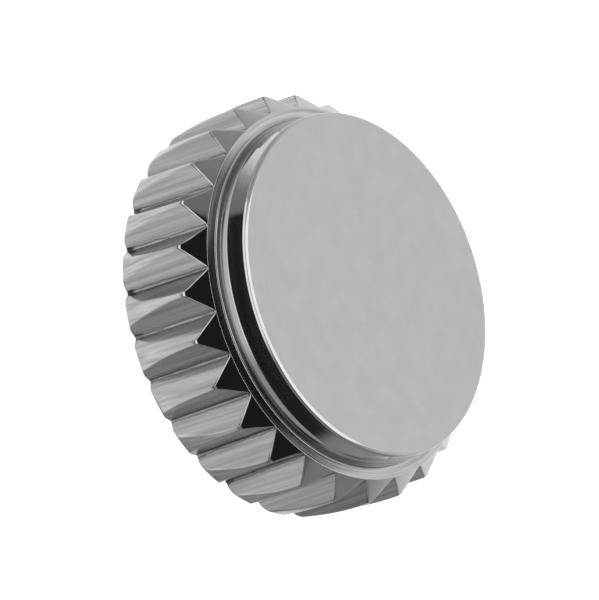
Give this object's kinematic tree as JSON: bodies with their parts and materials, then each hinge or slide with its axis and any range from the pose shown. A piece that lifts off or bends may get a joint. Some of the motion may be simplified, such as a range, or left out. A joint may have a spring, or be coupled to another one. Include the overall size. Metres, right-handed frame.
{
  "type": "watch crown",
  "caption": "Round fluted watch crown with a raised flat boss, screwed down on a short threaded case tube, with a sprung square stem holder in its centre pipe.",
  "frame": {"origin": "on the crown's axis, in the plane where the tube's flange seats on the watch case, at the top of the tube's register", "axes": "+Z along the crown's axis, out of the case towards the polished face; X and Y across it, a flute ridge at -Y"},
  "size_m": [0.007, 0.007, 0.0045],
  "materials": {
    "polished_steel": "mirror-polished stainless steel with fine tool marks in the flutes",
    "turned_steel": "fine-turned stainless steel",
    "spring_steel": "drawn stainless spring wire",
    "black_rubber": "satin nitrile rubber",
    "white_ptfe": "matte white fluoropolymer"
  },
  "bodies": {
    "tube": {"case_tube": "turned_steel", "case_gasket": "black_rubber", "neck_o_ring": "black_rubber", "tube_o_ring_lower": "black_rubber", "tube_o_ring_upper": "black_rubber", "tube_spacer": "white_ptfe", "tube_retaining_ring": "turned_steel"},
    "washer": {"slip_washer": "white_ptfe"},
    "head": {"fluted_head": "polished_steel", "threaded_sleeve": "turned_steel", "core_pipe": "turned_steel", "end_bush": "turned_steel", "spring_seat": "turned_steel", "return_spring": "spring_steel", "head_gasket": "black_rubber"},
    "piston": {"stem_piston": "turned_steel"}
  },
  "joints": [
    {"name": "crown_travel", "type": "slide", "parent": "tube", "child": "washer", "axis": [0, 0, 1], "range_m": [0, 0.00105]},
    {"name": "crown_turn", "type": "hinge", "parent": "washer", "child": "head", "pos_m": [0, 0, 0], "axis": [0, 0, 1], "range_deg": [0, 1080]},
    {"name": "piston_travel", "type": "slide", "parent": "head", "child": "piston", "axis": [0, 0, 1], "range_m": [0, 0.0011], "stiffness_N_per_m": 240, "springref_m": -0.001, "deforming": ["return_spring"]}
  ],
  "couplings": [
    {"joint": "crown_turn", "follows": "crown_travel", "rad_per_m": 17952}
  ]
}
